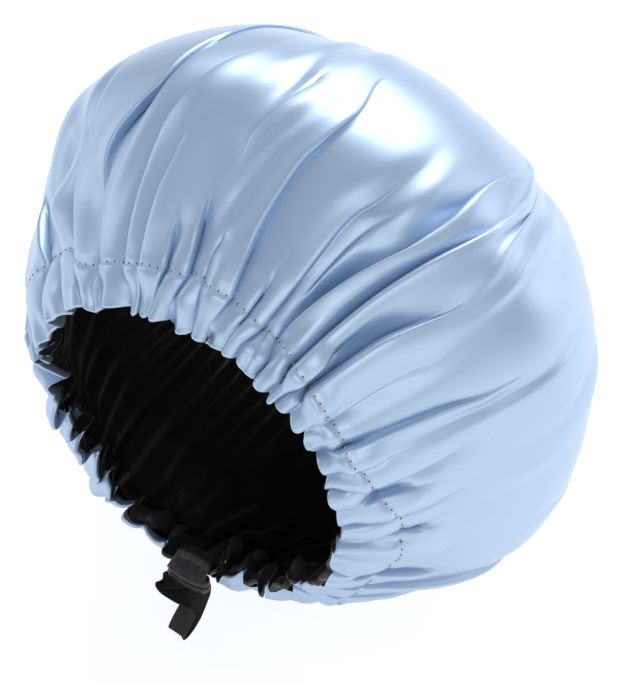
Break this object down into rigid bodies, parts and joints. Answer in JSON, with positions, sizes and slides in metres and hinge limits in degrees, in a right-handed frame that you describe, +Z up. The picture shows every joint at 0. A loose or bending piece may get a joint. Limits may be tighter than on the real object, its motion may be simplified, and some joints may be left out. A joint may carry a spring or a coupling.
{
  "type": "hair bonnet",
  "caption": "Reversible double-layer satin sleep bonnet with a gathered elastic casing and an elastic pull loop at the nape.",
  "frame": {"origin": "middle of the flat patch of satin that the cap rests on, right under the widest part of the dome", "axes": "+Z up from the table; the opening faces -Y and the crown points to +Y; X = 0 is the plane of symmetry through the nape"},
  "size_m": [0.2876, 0.2109, 0.2785],
  "materials": {
    "pale_satin": "glossy satin weave, light blue",
    "black_satin": "glossy satin weave, black",
    "black_elastic": "matt ribbed elastic",
    "blue_thread": "matt sewing thread",
    "white_thread": "matt sewing thread"
  },
  "bodies": {
    "cap": {"outer_shell": "pale_satin", "lining": "black_satin", "casing_elastic": "black_elastic", "topstitch_thread": "blue_thread", "lining_stitch_thread": "white_thread", "rim_seam_thread": "white_thread"},
    "tail": {"exit_sleeve": "black_satin", "elastic_leg_front": "black_elastic", "elastic_leg_back": "black_elastic"},
    "loop": {"pull_loop": "black_elastic"}
  },
  "joints": [
    {"name": "tail_swing", "type": "hinge", "parent": "cap", "child": "tail", "pos_m": [0, -0.08904, 0.04463], "axis": [1, 0, 0], "range_deg": [-110, 25]},
    {"name": "loop_pull", "type": "slide", "parent": "tail", "child": "loop", "axis": [0, 0, -1], "range_m": [0, 0.01], "stiffness_N_per_m": 50, "deforming": ["elastic_leg_front", "elastic_leg_back"]}
  ]
}
